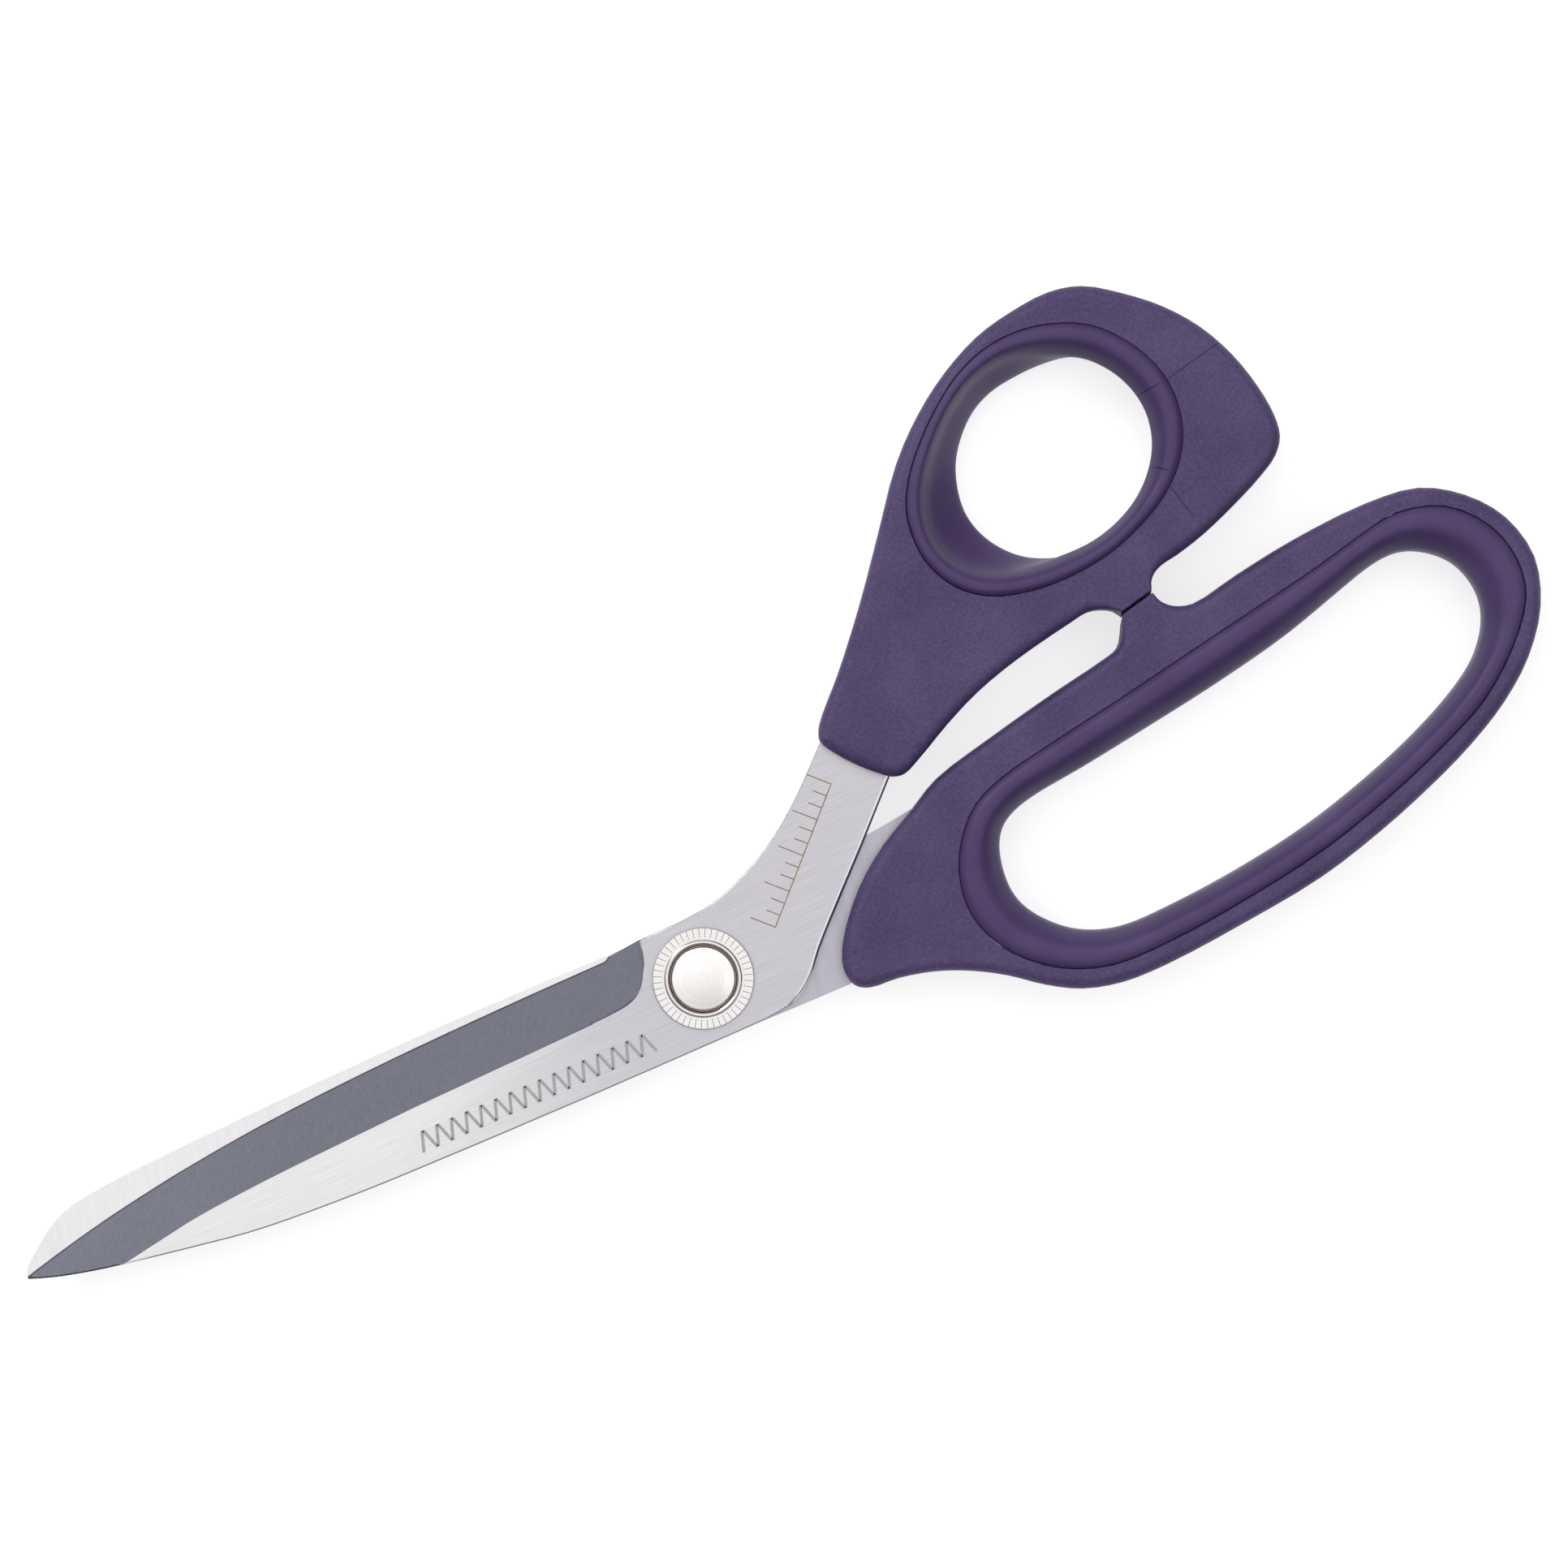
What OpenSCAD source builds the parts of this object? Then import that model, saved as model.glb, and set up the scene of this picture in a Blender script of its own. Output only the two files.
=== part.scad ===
// Tailor's shears with two moulded handles.
// Modelled closed and lying flat: +X towards the handles, +Y towards the thumb bow, +Z up.
// The outlines are drawn about the pivot, and one shift at the end of the Hidden section
// brings the whole part to the middle of its underside.

/* [Blades] */
// Length from the pivot to the points of the blades
blade_length = 93; // [77:1:112]
// Thickness of the steel in each blade
blade_thickness = 2; // [1.6:0.1:2.6]
// Thickness of steel left along the cutting edge
edge_land = 0.35; // [0.25:0.05:0.5]
// Depth of the hollow grind on the inner faces
hollow_depth = 0.14; // [0.05:0.01:0.2]
// Distance from one fine tooth to the next on the rear blade
tooth_pitch = 0.6; // [0.5:0.1:1.2]
// Depth of each fine tooth
tooth_depth = 0.12; // [0.05:0.01:0.2]

/* [Handles] */
// Length from the pivot to the far end of the finger bow
handle_length = 116.8; // [97:0.1:141]
// Thickness of the handles between their flat faces
handle_thickness = 10; // [8.2:0.1:12]
// Radius of the handles' outer edges
edge_round = 1.5; // [0.8:0.1:2]
// Height of the liners' beads above the flat faces
bead_height = 0.7; // [0.4:0.1:1.2]
// Depth of the roll from a handle's face to the rim of its hole
rim_drop = 3; // [2:0.1:3.6]
// Radius of the holes that anchor the plastic to the steel
anchor_radius = 1.8; // [1.2:0.1:2.2]

/* [Pivot] */
// Radius of the stud's shoulder, which both blades turn on
stud_radius = 3; // [2.5:0.1:3.6]
// Radius of the stud's polished head
head_radius = 4.05; // [4.05:0.05:4.1]
// Height of the stud's head at its rim
head_height = 0.95; // [0.8:0.05:1.4]
// Outer radius of the collar that the head sits in
collar_radius = 4.9; // [4.8:0.05:5.2]
// Thickness of the collar's wall
collar_wall = 0.5; // [0.4:0.05:0.6]
// Thickness of the collar's floor
collar_floor = 0.3; // [0.2:0.05:0.5]
// Outer radius of the knurled lock ring
ring_radius = 6.4; // [6:0.1:7]
// Thickness of the lock ring
ring_thickness = 0.7; // [0.5:0.05:1]
// Number of grooves in the lock ring
ring_grooves = 48; // [36:1:60]
// Outer radius of the bearing washer under the rear blade
bearing_radius = 5.2; // [4.8:0.1:6]
// Thickness of the bearing washer
bearing_thickness = 0.4; // [0.3:0.05:0.6]
// Thickness of the spring washer's steel
spring_thickness = 0.3; // [0.2:0.05:0.4]
// Height that the spring washer is coned by
spring_cone = 0.18; // [0.1:0.02:0.3]
// Radius of the tension screw's shank
screw_radius = 1.45; // [1.2:0.05:1.7]
// Radius of the tension screw's head
screw_head_radius = 4.6; // [4.2:0.1:5.2]
// Height of the tension screw's head
screw_head_height = 1.4; // [1:0.1:1.8]
// Width of the tension screw's slot
slot_width = 1.2; // [0.8:0.1:1.4]

/* [Clearances] */
// Space between the two blades where they pass
blade_gap = 0.05; // [0.04:0.01:0.1]
// Space round the shoulder in the rear blade and its washer
running_gap = 0.05; // [0.03:0.01:0.08]
// Space round the shoulder in the front blade and the collar
seat_gap = 0.02; // [0.01:0.01:0.05]
// Space between the two stop faces when the shears are shut
stop_gap = 0.35; // [0.1:0.05:0.5]
// Space between a handle and its liner
liner_gap = 0.01; // [0.01:0.01:0.05]

/* [Hidden] */

$fn = 96;
steps = 3;                   // points on a curve for each hand-placed point
over = 1;                    // how far a cut runs past the face that it opens
drawn_blade = 93;            // the lengths that the points below are drawn at
drawn_handle = 116.8;
blade_root = -13;            // blade points beyond this follow blade_length
handle_neck = 34;            // handle points beyond this follow handle_length
half = handle_thickness / 2;
blade_top = blade_gap / 2 + blade_thickness;

// --- Curves -------------------------------------------------------------------------------

// Centripetal curve between b and c, which passes through both
function between(a, b, c, d, t) =
    let (u = sqrt(norm(b - a)), v = sqrt(norm(c - b)), w = sqrt(norm(d - c)),
         m = ((b - a) / u - (c - a) / (u + v) + (c - b) / v) * v,
         n = ((c - b) / v - (d - b) / (v + w) + (d - c) / w) * v)
    (2 * t * t * t - 3 * t * t + 1) * b + (t * t * t - 2 * t * t + t) * m
    + (3 * t * t - 2 * t * t * t) * c + (t * t * t - t * t) * n;

// Smooth loop through a closed list of points
function loop_through(p) =
    let (n = len(p))
    [for (i = [0 : n - 1], s = [0 : steps - 1])
        between(p[(i + n - 1) % n], p[i], p[(i + 1) % n], p[(i + 2) % n], s / steps)];

// Smooth line through an open list of points, with both ends kept
function line_through(p) =
    let (n = len(p), q = concat([2 * p[0] - p[1]], p, [2 * p[n - 1] - p[n - 2]]))
    concat([for (i = [0 : n - 2], s = [0 : steps - 1])
        between(q[i], q[i + 1], q[i + 2], q[i + 3], s / steps)], [p[n - 1]]);

function reversed(p) = [for (i = [len(p) - 1 : -1 : 0]) p[i]];
function flipped(p) = [for (q = p) [q[0], -q[1]]];
function lifted(p, z) = [for (q = p) [q[0], q[1], z]];
function blended(p, q, f) = [for (i = [0 : len(p) - 1]) p[i] + f * (q[i] - p[i])];

// Moves each point of a counter-clockwise loop inwards by its own distance
function inset(p, d) =
    let (n = len(p))
    [for (i = [0 : n - 1])
        let (t = p[(i + 1) % n] - p[(i + n - 1) % n])
        p[i] + d[i] * [-t[1], t[0]] / norm(t)];

// A point behind the neck moves with the handle's length, and one past the root with the blade's
function handle_point(p) =
    let (k = (handle_length - handle_neck) / (drawn_handle - handle_neck))
    [p[0] > handle_neck ? handle_neck + k * (p[0] - handle_neck) : p[0], p[1]];
function blade_x(x) =
    let (k = (blade_length + blade_root) / (drawn_blade + blade_root))
    x < blade_root ? blade_root + k * (x - blade_root) : x;
function on_handle(p) = [for (q = p) handle_point(q)];
function on_blade(p) = [for (q = p) [blade_x(q[0]), q[1]]];

// --- Solids from rings of points ----------------------------------------------------------

function band(n, a, b) =
    [for (i = [0 : n - 1])
        let (k = (i + 1) % n)
        each [[a * n + i, b * n + i, b * n + k], [a * n + i, b * n + k, a * n + k]]];

// Triangles that fill a flat outline, cut off one convex corner at a time
function turn(a, b, c) = cross(b - a, c - b);
function holds(a, b, c, q) = turn(a, b, q) >= 0 && turn(b, c, q) >= 0 && turn(c, a, q) >= 0;
function is_ear(p, a, b, c, left_over) =
    turn(p[a], p[b], p[c]) > 0
    && len([for (j = left_over) if (j != a && j != b && j != c && holds(p[a], p[b], p[c], p[j])) j]) == 0;
function find_ear(p, order, k) =
    let (n = len(order))
    k >= n || is_ear(p, order[k - 1], order[k], order[(k + 1) % n], order) ? k % n
    : find_ear(p, order, k + 1);
function ears(p, order) =
    let (n = len(order))
    n == 3 ? [order]
    : let (k = find_ear(p, order, 1), rest = [for (j = [1 : n - 1]) order[(k + j) % n]])
      concat([[order[(k + n - 1) % n], order[k], order[(k + 1) % n]]], ears(p, rest));

// Rings stacked along any line and closed by a flat cap at each end, filled by the triangles
module stack(rings, cap) {
    n = len(rings[0]);
    m = len(rings);
    sides = [for (j = [0 : m - 2]) each band(n, j, j + 1)];
    above = [for (t = cap) [for (i = [2, 1, 0]) (m - 1) * n + t[i]]];
    polyhedron(points = [for (r = rings) each r], faces = concat(sides, cap, above), convexity = 8);
}
function filled(p) =
    let (flat = [for (q = p) [q[0], q[1]]])
    ears(flat, [for (i = [0 : len(p) - 1]) i]);

// Rings that return to the first, as round a tube
module tube(rings) {
    n = len(rings[0]);
    m = len(rings);
    sides = [for (j = [0 : m - 1]) each band(n, j, (j + 1) % m)];
    polyhedron(points = [for (r = rings) each r], faces = sides, convexity = 8);
}

// --- Blade outlines -----------------------------------------------------------------------

// Each place along a blade: its x, the height of the cutting edge, and the height where the
// ground bevel begins
grind = [
    [-96, -0.8, -6], [-93, 0.25, -5.4], [-90, 1, -4.7], [-85, 2.1, -3.8], [-80, 3.05, -3],
    [-75, 3.85, -2.2], [-70, 4.55, -1.5], [-60, 5.6, -0.8], [-50, 6.25, -0.4], [-40, 6.65, -0.05],
    [-30, 6.85, 0.15], [-20, 6.95, 0.3], [-10.6, 6.95, 0.4], [-3, 6.95, 0.45]
];
grind_line = line_through([for (g = grind) [blade_x(g[0]), g[1], g[2]]]);
cut_line = [for (g = grind_line) if (g[0] >= -blade_length - 0.01 && g[0] < -10.5) [g[0], g[1]]];

// The small step and the heel behind the cutting edge
heel = [[-10.3, 7.05], [-9.9, 7.3], [-5.4, 7.7]];

front_shank = line_through([[0, 7.7], [5, 8.2], [10, 9.9], [15, 12.5], [20, 16.2], [25.5, 21.2]]);
front_tang = on_handle([
    [29, 23.4], [34, 27.2], [39, 30.2], [42.5, 30.6], [44.5, 28.2], [43, 24.5], [39, 20.5], [35, 16.8]
]);
front_throat = line_through([
    [31.8, 13.7], [25, 7.1], [20, 2.4], [15, -2.4], [12.5, -5.2], [10, -7], [8, -7.6], [5, -7.9]
]);
front_spine = line_through(on_blade([
    [0, -7.9], [-20, -7.75], [-40, -7.4], [-50, -7.1], [-60, -6.5], [-65, -6], [-70, -5.2],
    [-80, -3.4], [-85, -2.4], [-90, -1.1], [-93, 0]
]));
front_outline = concat(cut_line, heel, front_shank, line_through(front_tang), front_throat,
                       front_spine);

// The rear blade's edge stands out a little further, and is broken into fine teeth
rear_edge = line_through(on_blade([
    [-93, -0.2], [-90, -1.2], [-85, -2.5], [-80, -3.4], [-70, -4.85], [-60, -5.85], [-50, -6.5],
    [-40, -6.85], [-30, -7], [-20, -7.05], [-10.6, -7]
]));
tooth_first = blade_x(-91.5);
tooth_last = -11;
teeth_count = floor((tooth_last - tooth_first) / tooth_pitch);
rear_teeth = [for (i = [0 : teeth_count - 1], s = [0, 0.5])
    let (x = tooth_first + (i + s) * tooth_pitch)
    [x, lookup(x, rear_edge) + 2 * s * tooth_depth]];
rear_shank = [[0, -7.85], [10, -8.1], [17, -8.2]];
rear_tang = on_handle([
    [20, -8.1], [25, -7.2], [29, -5.2], [31, -2], [32, 2], [34.5, 5.3], [38.5, 7.4], [44, 9.3],
    [52, 10.8], [57.5, 11.9], [58.6, 12.7], [57.5, 13.3], [52, 12.6], [44, 11.1], [38, 9.4]
]);
rear_spine = line_through(on_blade([
    [32.5, 8.8], [26, 8.1], [0, 7.4], [-10, 7.5], [-20, 7.75], [-35, 7.9], [-50, 7.75],
    [-60, 7.5], [-70, 7.25], [-80, 6.75], [-85, 6], [-88, 4.7], [-91, 2.6], [-92.6, 1.2], [-93, 0.4]
]));
rear_outline = concat([[-blade_length, -0.2]], rear_teeth, flipped(heel), rear_shank,
                      line_through(rear_tang), rear_spine);

// Where the bevel runs out beside the pivot
run_out = line_through([[-13, 0.5], [-10, 0.8], [-8.2, 1.6], [-7, 3], [-5.9, 5.5], [-5.4, 7.7]]);
bevel_zone = concat([[-2 * blade_length, -15], [-15, -15], [-15, 0.45]], run_out,
                    [[-5, 9.5], [-2 * blade_length, 9.5]]);

front_anchor = handle_point([37, 24]);
rear_anchor = handle_point([26, -1.5]);

// --- Handle outlines ----------------------------------------------------------------------

// Counter-clockwise, from one end of the stop face to the other
finger_outline = line_through(on_handle([
    [66.6, 20.2 - stop_gap / 2], [66, 18.9], [64.5, 16.8], [62, 16.1], [55, 14.9], [45, 12.9],
    [37, 11], [32.5, 8.7], [27.5, 6.1], [22.5, 2.4], [18, -2.8], [16.6, -6], [17, -8.4],
    [18.6, -9.5], [22.5, -9.9], [27, -11], [31, -12.7], [35, -15.1], [39, -18.2], [43, -20.5],
    [48, -21.8], [54, -22], [65, -21.2], [76, -19.9], [85, -17.7], [93, -15.1], [100, -12.3],
    [106, -9.1], [111, -5.2], [115, 0], [116.8, 6], [115.5, 12], [112, 16.6], [107, 19.8],
    [100, 20.7], [90, 20.2], [82, 19.1], [75.3, 18], [72.8, 18.8], [71.6, 20],
    [71.2, 21.2 - stop_gap / 2]
]));
thumb_outline = line_through(on_handle([
    [71.2, 21.2 + stop_gap / 2], [71.5, 22.5], [72.3, 23.4], [73.6, 24], [76, 24.4], [80, 25.4],
    [85, 27.2], [89.4, 29.1], [92.3, 30.8], [93.8, 32.8], [94.2, 35.5], [93.8, 39.5], [92.5, 44.5],
    [90.2, 49.4], [87, 53.6], [83, 57.2], [78.7, 60.1], [74.5, 61.1], [69, 60.7], [64, 59.6],
    [58.5, 57.1], [53.5, 53.8], [48.5, 49.3], [43, 42.4], [37, 34.9], [31, 28.1], [27.5, 24.6],
    [26, 22.8], [25.5, 21.2], [26.5, 19.3], [28.5, 16.7], [30.5, 14.7], [32, 13.5], [33.5, 13.2],
    [36, 14.2], [41, 16.7], [46, 18.8], [52, 20.5], [60, 22], [63, 22.4], [65, 21.8],
    [66.3, 20.9], [66.6, 20.2 + stop_gap / 2]
]));

// Loops of the liners, counter-clockwise and station by station: the crease where liner meets
// handle, and the rim where the bead turns down into the hole
finger_crease = loop_through(on_handle([
    [33.9, -5], [34.5, -8.7], [36.7, -12.8], [41.5, -17], [47.5, -19.3], [56, -19.5], [67, -18.5],
    [78, -16.8], [88, -14.1], [96.5, -11.1], [103.5, -8], [109.5, -3.4], [113.7, 1.8],
    [114.6, 6.5], [113.2, 11.8], [109, 16.4], [103, 18.1], [97.5, 17.3], [92, 16.1], [83, 14.5],
    [73, 12.8], [62, 10.9], [52, 9.3], [44.5, 7.9], [40, 6.1], [36.8, 3], [34.7, -0.8]
]));
finger_rim = loop_through(on_handle([
    [39.9, -5], [40.5, -7.8], [42.3, -10.6], [45.6, -13.5], [50.5, -15.3], [57.5, -15.4],
    [67, -14.7], [77, -13.2], [87, -10.6], [95, -7.8], [101, -5], [105, -2.3], [107.8, 1.5],
    [108.5, 5.2], [107.3, 9.3], [104.5, 12.1], [101.5, 13.4], [98, 13.3], [93, 12], [84.5, 9.6], [74, 7.6],
    [63, 6], [54, 4.8], [47.5, 4.1], [44, 3.2], [41.9, 1.8], [40.5, -0.8]
]));
thumb_front_crease = loop_through(on_handle([
    [46.4, 39], [46.9, 35.6], [48.7, 32.1], [52, 29.3], [57, 27.7], [62.5, 27.3], [68, 27.9],
    [73, 29.5], [77.3, 31.7], [80.8, 34.8], [83, 38.6], [83.8, 43], [83.1, 47.4], [81, 51.5],
    [77.6, 55.2], [73, 57.4], [68.5, 58.2], [64, 57.8], [59.5, 56.1], [55.4, 53.3], [52, 50.3],
    [49, 46.9], [47, 43.2]
]));
thumb_front_rim = loop_through(on_handle([
    [49.4, 39.6], [49.8, 36.9], [51.4, 34.2], [54.3, 32], [58.2, 30.8], [62.8, 30.4], [67, 30.5],
    [70.8, 31.5], [74, 33.2], [76.6, 35.6], [78.5, 38.6], [79.3, 42], [79, 45.2], [77.7, 48.4],
    [75.3, 51.4], [72.1, 53.4], [69, 54.6], [65.3, 55.1], [61.5, 54.3], [58, 52.4], [54.8, 49.6],
    [52.1, 46.4], [50.2, 43.1]
]));
thumb_back_rim = loop_through(on_handle([
    [54.4, 40.5], [55, 37.5], [56.6, 34.6], [59, 32.2], [62.3, 30.5], [66, 29.6], [69.8, 29.4],
    [73.6, 30.1], [77.1, 31.6], [80.1, 34], [82.2, 37.2], [83.1, 41], [82.6, 44.7], [80.8, 48.3],
    [77.8, 51.1], [74.2, 52.6], [70.3, 53.1], [66.8, 53], [63.4, 52.6], [60.4, 51.4],
    [57.9, 49.3], [55.9, 46.6], [54.8, 43.6]
]));
back_shift = [2.6, -0.5];     // the thumb hole leans, so its back crease sits over by this
thumb_back_crease = [for (p = thumb_front_crease) p + back_shift];

// --- Frame --------------------------------------------------------------------------------

left = -blade_length;
right = max([for (p = finger_outline) p[0]]);
low = min([for (p = finger_outline) p[1]]);
high = max([for (p = thumb_outline) p[1]]);
rest = half + bead_height;
module placed() { translate([-(left + right) / 2, -(low + high) / 2, rest]) children(); }

// --- Blades -------------------------------------------------------------------------------

// Everything above the bevel of the front blade
module bevel_cut() {
    run = 1.2;                // how far the cut runs past the cutting edge
    floor_z = blade_gap / 2 + edge_land;
    sections = [for (g = grind_line)
        let (slope = (blade_top - floor_z) / (g[1] - g[2]))
        [[g[0], g[2], blade_top], [g[0], g[1] + run, floor_z - slope * run],
         [g[0], g[1] + run, blade_top + over], [g[0], g[2], blade_top + over]]];
    intersection() {
        stack(sections, [[0, 1, 2], [0, 2, 3]]);
        linear_extrude(blade_top + 2 * over) polygon(bevel_zone);
    }
}

// The hollow fades out towards the point, so the cylinder that cuts it is tipped a little
module hollow_cut() {
    hollow_radius = 140;
    start = -12;
    fade = blade_length - 33;
    translate([start, 0, blade_gap / 2 + hollow_depth])
        rotate([0, -90 - atan(hollow_depth / fade), 0])
            translate([-hollow_radius, 0, 0])
                cylinder(h = 1.12 * fade, r = hollow_radius, $fn = 480);
}

// Both faces are kept as one outline, so that the handle's pocket is cut by the same steel
module front_steel() {
    translate([0, 0, blade_gap / 2])
        linear_extrude(blade_thickness)
            difference() {
                polygon(front_outline);
                translate(front_anchor) circle(anchor_radius);
            }
}

module rear_steel() {
    translate([0, 0, -blade_top])
        linear_extrude(blade_thickness)
            difference() {
                polygon(rear_outline);
                translate(rear_anchor) circle(anchor_radius);
            }
}

module front_blade() {
    color([0.78, 0.77, 0.80])
        placed() difference() {
            front_steel();
            bevel_cut();
            hollow_cut();
            cylinder(h = 4 * blade_top, r = stud_radius + seat_gap, center = true);
        }
}

module rear_blade() {
    color([0.86, 0.86, 0.87])
        placed() difference() {
            rear_steel();
            rotate([180, 0, 0]) bevel_cut();
            rotate([180, 0, 0]) hollow_cut();
            cylinder(h = 4 * blade_top, r = stud_radius + running_gap, center = true);
        }
}

// --- Handles ------------------------------------------------------------------------------

// Radius of the bend at each point of a loop, and a large one where it is straight or hollow
function bends(p) =
    let (n = len(p), none = 1000)
    [for (i = [0 : n - 1])
        let (u = p[i] - p[(i + n - 1) % n], v = p[(i + 1) % n] - p[i], a = atan2(cross(u, v), u * v))
        a > 0.01 ? (norm(u) + norm(v)) * 90 / (PI * a) : none];

// The rounding is tighter round a sharp bend, and nearly nothing beside the stop face, where the
// two handles meet
function edge_radii(p) =
    let (bend = bends(p), share = 0.7, rise = 0.3, sharp = 0.2, last = p[len(p) - 1])
    [for (q = p)
        min(edge_round, sharp + rise * min(norm(q - p[0]), norm(q - last)),
            min([for (i = [0 : len(p) - 1]) share * bend[i] + rise * norm(q - p[i])]))];

module rounded_slab(outline) {
    radii = edge_radii(outline);
    angles = [90, 67.5, 45, 22.5, 0];
    lower = [for (a = angles)
        let (p = inset(outline, [for (r = radii) r * (1 - cos(a))]))
        [for (i = [0 : len(p) - 1]) [p[i][0], p[i][1], -half + radii[i] * (1 - sin(a))]]];
    upper = [for (k = [len(angles) - 1 : -1 : 0]) [for (q = lower[k]) [q[0], q[1], -q[2]]]];
    stack(concat(lower, upper), filled(lower[0]));
}

// A liner's outside runs straight from the front crease to the back one
function crease_at(front, back, z) = blended(front, back, (half - z) / (2 * half));

module liner_space(front, back) {
    reach = half + over;
    wider = [for (p = front) -liner_gap];
    lower = lifted(inset(crease_at(front, back, -reach), wider), -reach);
    upper = lifted(inset(crease_at(front, back, reach), wider), reach);
    stack([lower, upper], filled(lower));
}

// From the crease inwards: share of the way to the rim, and height above the flat face
function bead() = [[0.05, bead_height - 0.6], [0.12, bead_height - 0.26], [0.2, bead_height - 0.06],
                   [0.29, bead_height], [0.41, bead_height], [0.53, bead_height - 0.2],
                   [0.65, bead_height - 0.75], [0.77, -0.28 * rim_drop], [0.89, -0.62 * rim_drop],
                   [1, -rim_drop]];

module liner(front_crease, front_rim, back_rim, back_crease) {
    crease_depth = 0.35;
    edge = half - crease_depth;
    front = [for (b = bead()) lifted(blended(front_crease, front_rim, b[0]), half + b[1])];
    back = [for (b = bead()) lifted(blended(back_crease, back_rim, b[0]), -half - b[1])];
    tube(concat([lifted(crease_at(front_crease, back_crease, -edge), -edge)],
                [lifted(crease_at(front_crease, back_crease, edge), edge)],
                front, reversed(back)));
}

module thumb_handle() {
    color([0.35, 0.30, 0.44])
        placed() difference() {
            rounded_slab(thumb_outline);
            liner_space(thumb_front_crease, thumb_back_crease);
            front_steel();
        }
}

module finger_handle() {
    color([0.35, 0.30, 0.44])
        placed() difference() {
            rounded_slab(finger_outline);
            liner_space(finger_crease, finger_crease);
            rear_steel();
        }
}

module thumb_liner() {
    color([0.40, 0.33, 0.48])
        placed() liner(thumb_front_crease, thumb_front_rim, thumb_back_rim, thumb_back_crease);
}

module finger_liner() {
    color([0.40, 0.33, 0.48])
        placed() liner(finger_crease, finger_rim, finger_rim, finger_crease);
}

// --- Pivot --------------------------------------------------------------------------------

bore_radius = screw_radius + running_gap;
head_seat = blade_top + collar_floor;
shoulder_end = -blade_top - bearing_thickness + 0.1;
bore_end = 1.2;
spring_top = -blade_top - bearing_thickness - blade_gap;
spring_bottom = spring_top - spring_thickness - spring_cone;

module pivot_stud() {
    dome = 0.22;              // rise of the polished crown over the rim
    bevel = 0.12;
    top = head_seat + head_height;
    crown_steps = 8;
    crown_radius = head_radius - bevel;
    crown = [for (i = [0 : crown_steps])
        let (r = crown_radius * (1 - i / crown_steps))
        [r, top + dome * (1 - pow(r / crown_radius, 2))]];
    color([0.85, 0.84, 0.84])
        placed() rotate_extrude()
            polygon(concat([[0, bore_end], [bore_radius, bore_end], [bore_radius, shoulder_end],
                            [stud_radius, shoulder_end], [stud_radius, head_seat],
                            [head_radius, head_seat], [head_radius, top - bevel]], crown));
}

module seat_collar() {
    inner = collar_radius - collar_wall;
    lip = head_seat + 0.75;
    crest = collar_wall / 2;
    arc_steps = 8;
    arc = [for (i = [0 : arc_steps])
        let (a = 180 * i / arc_steps)
        [collar_radius - crest + crest * cos(a), lip + crest * sin(a)]];
    color([0.72, 0.70, 0.70])
        placed() rotate_extrude()
            polygon(concat([[stud_radius + seat_gap, blade_top], [collar_radius, blade_top]], arc,
                           [[inner, head_seat], [stud_radius + seat_gap, head_seat]]));
}

module lock_ring() {
    inner = collar_radius + seat_gap;
    groove = 0.16;            // depth of each radial groove
    side = groove * sqrt(2);
    color([0.88, 0.87, 0.87])
        placed() translate([0, 0, blade_top])
            difference() {
                cylinder(h = ring_thickness, r = ring_radius);
                translate([0, 0, -over]) cylinder(h = ring_thickness + 2 * over, r = inner);
                for (i = [0 : ring_grooves - 1])
                    rotate(360 * i / ring_grooves)
                        translate([inner + 0.3, 0, ring_thickness])
                            rotate([45, 0, 0])
                                translate([0, -side / 2, -side / 2])
                                    cube([ring_radius, side, side]);
            }
}

module bearing_washer() {
    color([0.90, 0.89, 0.86])
        placed() translate([0, 0, -blade_top - bearing_thickness])
            difference() {
                cylinder(h = bearing_thickness, r = bearing_radius);
                translate([0, 0, -over])
                    cylinder(h = bearing_thickness + 2 * over, r = stud_radius + running_gap);
            }
}

module spring_washer() {
    inner = screw_radius + 0.2;
    outer = min(bearing_radius, screw_head_radius) - 0.3;
    color([0.55, 0.55, 0.57])
        placed() rotate_extrude()
            polygon([[inner, spring_bottom], [outer, spring_bottom + spring_cone],
                     [outer, spring_top], [inner, spring_top - spring_cone]]);
}

module tension_screw() {
    under = spring_bottom - blade_gap;
    bevel = 0.3;
    end = bore_end - 0.4;
    slot_depth = screw_head_height - 0.5;
    color([0.70, 0.69, 0.70])
        placed() difference() {
            rotate_extrude()
                polygon([[0, end], [screw_radius - 0.2, end], [screw_radius, end - 0.2],
                         [screw_radius, under], [screw_head_radius, under],
                         [screw_head_radius, under - screw_head_height + bevel],
                         [screw_head_radius - bevel, under - screw_head_height],
                         [0, under - screw_head_height]]);
            translate([-2 * screw_head_radius, -slot_width / 2, under - screw_head_height - over])
                cube([4 * screw_head_radius, slot_width, slot_depth + over]);
        }
}

front_blade();
rear_blade();
thumb_handle();
thumb_liner();
finger_handle();
finger_liner();
pivot_stud();
seat_collar();
lock_ring();
bearing_washer();
spring_washer();
tension_screw();
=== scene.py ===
import bpy
import bmesh
import math
from mathutils import Matrix, Vector


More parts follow.
